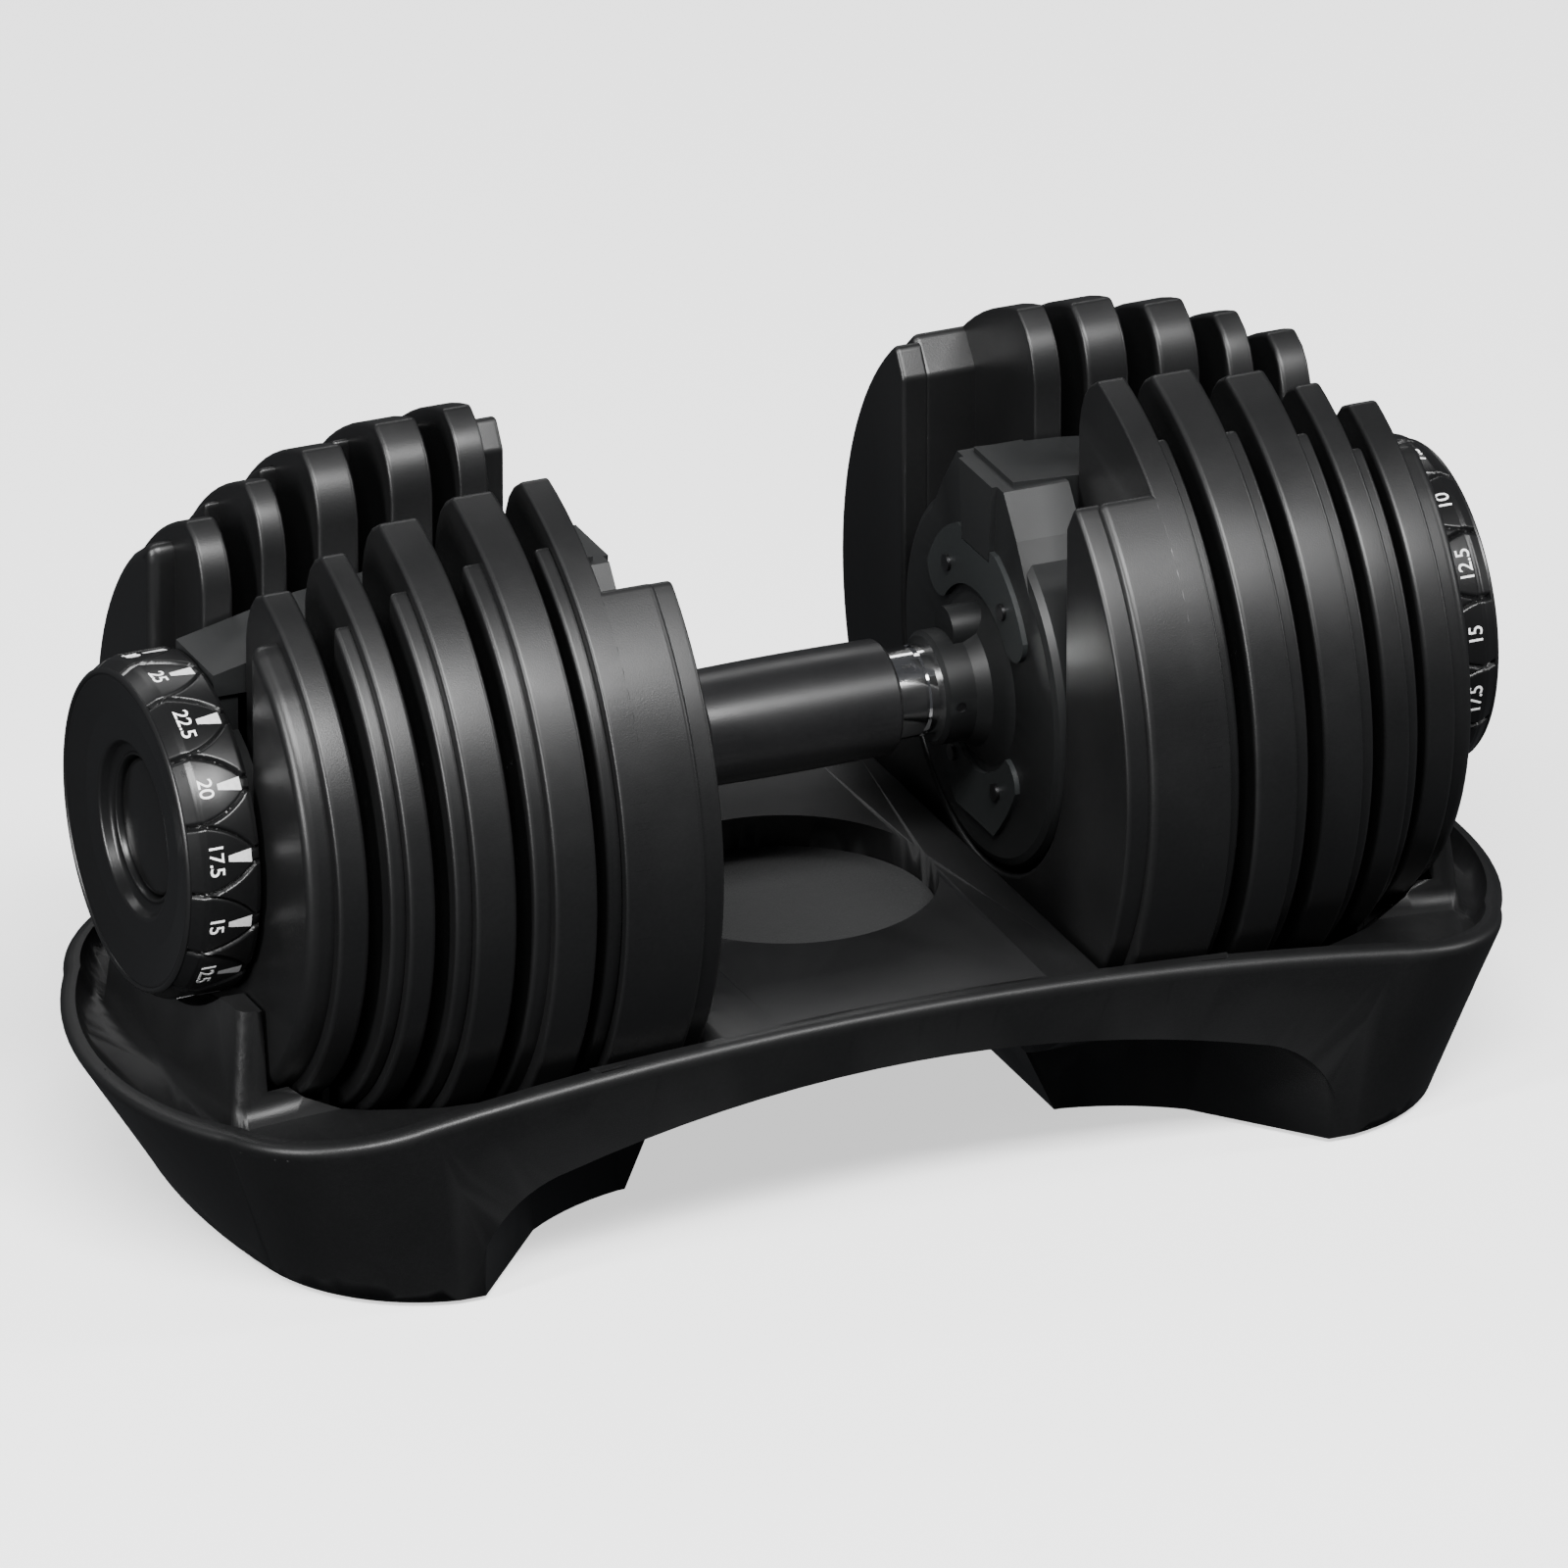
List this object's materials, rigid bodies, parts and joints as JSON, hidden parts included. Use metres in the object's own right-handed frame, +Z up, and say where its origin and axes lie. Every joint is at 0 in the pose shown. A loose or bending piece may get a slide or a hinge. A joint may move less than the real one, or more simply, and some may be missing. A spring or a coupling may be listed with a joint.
{
  "type": "adjustable dumbbell",
  "caption": "Dial-select adjustable dumbbell resting in its tray: stacked slotted plates, a gripped handle with turning end dials, and an arched base.",
  "frame": {"origin": "on the floor under the middle of the tray", "axes": "+Z up, +X along the handle towards the right dial, +Y to the rear"},
  "size_m": [0.4228, 0.204, 0.2175],
  "materials": {
    "tray_plastic": "satin moulded, fine grain",
    "post_plastic": "hard nylon",
    "inlay_rubber": "fine stippled",
    "foot_rubber": "soft matt",
    "screw_steel": "zinc plated",
    "chrome": "polished",
    "grip_rubber": "satin smooth",
    "bush_plastic": "acetal",
    "housing_plastic": "satin moulded",
    "cover_plastic": "satin moulded",
    "dial_plastic": "semi-gloss moulded",
    "disc_nylon": "nylon",
    "shaft_metal": "machined",
    "plate_plastic": "satin moulded, fine grain",
    "core_steel": "rolled plate"
  },
  "bodies": {
    "base": {"tray_shell": "tray_plastic", "left_plate_rack": "tray_plastic", "right_plate_rack": "tray_plastic", "unlock_posts": "post_plastic", "deck_inlay": "inlay_rubber", "rubber_feet": "foot_rubber", "rack_screws": "screw_steel"},
    "handle": {"handle_tube": "chrome", "grip_sleeve": "grip_rubber", "tie_rod": "screw_steel", "tie_rod_nuts": "screw_steel", "collar_screws": "screw_steel", "cover_screws": "screw_steel", "shaft_bushes": "bush_plastic", "left_hub_collar": "housing_plastic", "left_inner_housing": "housing_plastic", "left_bridge": "housing_plastic", "left_end_housing": "housing_plastic", "left_upper_cover": "cover_plastic", "left_lower_cover": "cover_plastic", "left_lock_spring": "screw_steel", "right_hub_collar": "housing_plastic", "right_inner_housing": "housing_plastic", "right_bridge": "housing_plastic", "right_end_housing": "housing_plastic", "right_upper_cover": "cover_plastic", "right_lower_cover": "cover_plastic", "right_lock_spring": "screw_steel"},
    "left_lock_pin": {"left_lock_pin": "screw_steel"},
    "left_dial": {"left_dial_knob": "dial_plastic", "left_dial_cap": "dial_plastic", "left_dial_shaft": "shaft_metal", "left_index_ring": "dial_plastic", "left_selector_discs": "disc_nylon"},
    "left_plate_1": {"left_plate_1_jacket": "plate_plastic", "left_plate_1_core": "core_steel"},
    "left_plate_2": {"left_plate_2_jacket": "plate_plastic", "left_plate_2_core": "core_steel"},
    "left_plate_3": {"left_plate_3_jacket": "plate_plastic", "left_plate_3_core": "core_steel"},
    "left_plate_4": {"left_plate_4_jacket": "plate_plastic", "left_plate_4_core": "core_steel"},
    "left_plate_5": {"left_plate_5_jacket": "plate_plastic", "left_plate_5_core": "core_steel"},
    "right_lock_pin": {"right_lock_pin": "screw_steel"},
    "right_dial": {"right_dial_knob": "dial_plastic", "right_dial_cap": "dial_plastic", "right_dial_shaft": "shaft_metal", "right_index_ring": "dial_plastic", "right_selector_discs": "disc_nylon"},
    "right_plate_1": {"right_plate_1_jacket": "plate_plastic", "right_plate_1_core": "core_steel"},
    "right_plate_2": {"right_plate_2_jacket": "plate_plastic", "right_plate_2_core": "core_steel"},
    "right_plate_3": {"right_plate_3_jacket": "plate_plastic", "right_plate_3_core": "core_steel"},
    "right_plate_4": {"right_plate_4_jacket": "plate_plastic", "right_plate_4_core": "core_steel"},
    "right_plate_5": {"right_plate_5_jacket": "plate_plastic", "right_plate_5_core": "core_steel"}
  },
  "joints": [
    {"name": "handle_lift", "type": "slide", "parent": "base", "child": "handle", "axis": [0, 0, 1], "range_m": [0, 0.2]},
    {"name": "left_dial_turn", "type": "hinge", "parent": "handle", "child": "left_dial", "pos_m": [-0.19, 0, 0.1195], "axis": [1, 0, 0], "range_deg": [-192, 144]},
    {"name": "left_lock_pin_drop", "type": "slide", "parent": "handle", "child": "left_lock_pin", "axis": [0, 0, 1], "range_m": [-0.0065, 0], "deforming": ["left_lock_spring"]},
    {"name": "left_plate_1_lift", "type": "slide", "parent": "base", "child": "left_plate_1", "axis": [0, 0, 1], "range_m": [0, 0.2]},
    {"name": "left_plate_2_lift", "type": "slide", "parent": "base", "child": "left_plate_2", "axis": [0, 0, 1], "range_m": [0, 0.2]},
    {"name": "left_plate_3_lift", "type": "slide", "parent": "base", "child": "left_plate_3", "axis": [0, 0, 1], "range_m": [0, 0.2]},
    {"name": "left_plate_4_lift", "type": "slide", "parent": "base", "child": "left_plate_4", "axis": [0, 0, 1], "range_m": [0, 0.2]},
    {"name": "left_plate_5_lift", "type": "slide", "parent": "base", "child": "left_plate_5", "axis": [0, 0, 1], "range_m": [0, 0.2]},
    {"name": "right_dial_turn", "type": "hinge", "parent": "handle", "child": "right_dial", "pos_m": [0.19, 0, 0.1195], "axis": [1, 0, 0], "range_deg": [-312, 24]},
    {"name": "right_lock_pin_drop", "type": "slide", "parent": "handle", "child": "right_lock_pin", "axis": [0, 0, 1], "range_m": [-0.0065, 0], "deforming": ["right_lock_spring"]},
    {"name": "right_plate_1_lift", "type": "slide", "parent": "base", "child": "right_plate_1", "axis": [0, 0, 1], "range_m": [0, 0.2]},
    {"name": "right_plate_2_lift", "type": "slide", "parent": "base", "child": "right_plate_2", "axis": [0, 0, 1], "range_m": [0, 0.2]},
    {"name": "right_plate_3_lift", "type": "slide", "parent": "base", "child": "right_plate_3", "axis": [0, 0, 1], "range_m": [0, 0.2]},
    {"name": "right_plate_4_lift", "type": "slide", "parent": "base", "child": "right_plate_4", "axis": [0, 0, 1], "range_m": [0, 0.2]},
    {"name": "right_plate_5_lift", "type": "slide", "parent": "base", "child": "right_plate_5", "axis": [0, 0, 1], "range_m": [0, 0.2]}
  ],
  "couplings": [
    {"joint": "left_lock_pin_drop", "follows": "handle_lift", "ratio": -0.0325},
    {"joint": "left_plate_1_lift", "follows": "handle_lift", "ratio": 1},
    {"joint": "left_plate_2_lift", "follows": "handle_lift", "ratio": 1},
    {"joint": "left_plate_3_lift", "follows": "handle_lift", "ratio": 1},
    {"joint": "left_plate_4_lift", "follows": "handle_lift", "ratio": 1},
    {"joint": "left_plate_5_lift", "follows": "handle_lift", "ratio": 1},
    {"joint": "right_lock_pin_drop", "follows": "handle_lift", "ratio": -0.0325},
    {"joint": "right_plate_1_lift", "follows": "handle_lift", "ratio": 1},
    {"joint": "right_plate_2_lift", "follows": "handle_lift", "ratio": 1},
    {"joint": "right_plate_3_lift", "follows": "handle_lift", "ratio": 1},
    {"joint": "right_plate_4_lift", "follows": "handle_lift", "ratio": 1},
    {"joint": "right_plate_5_lift", "follows": "handle_lift", "ratio": 1}
  ]
}
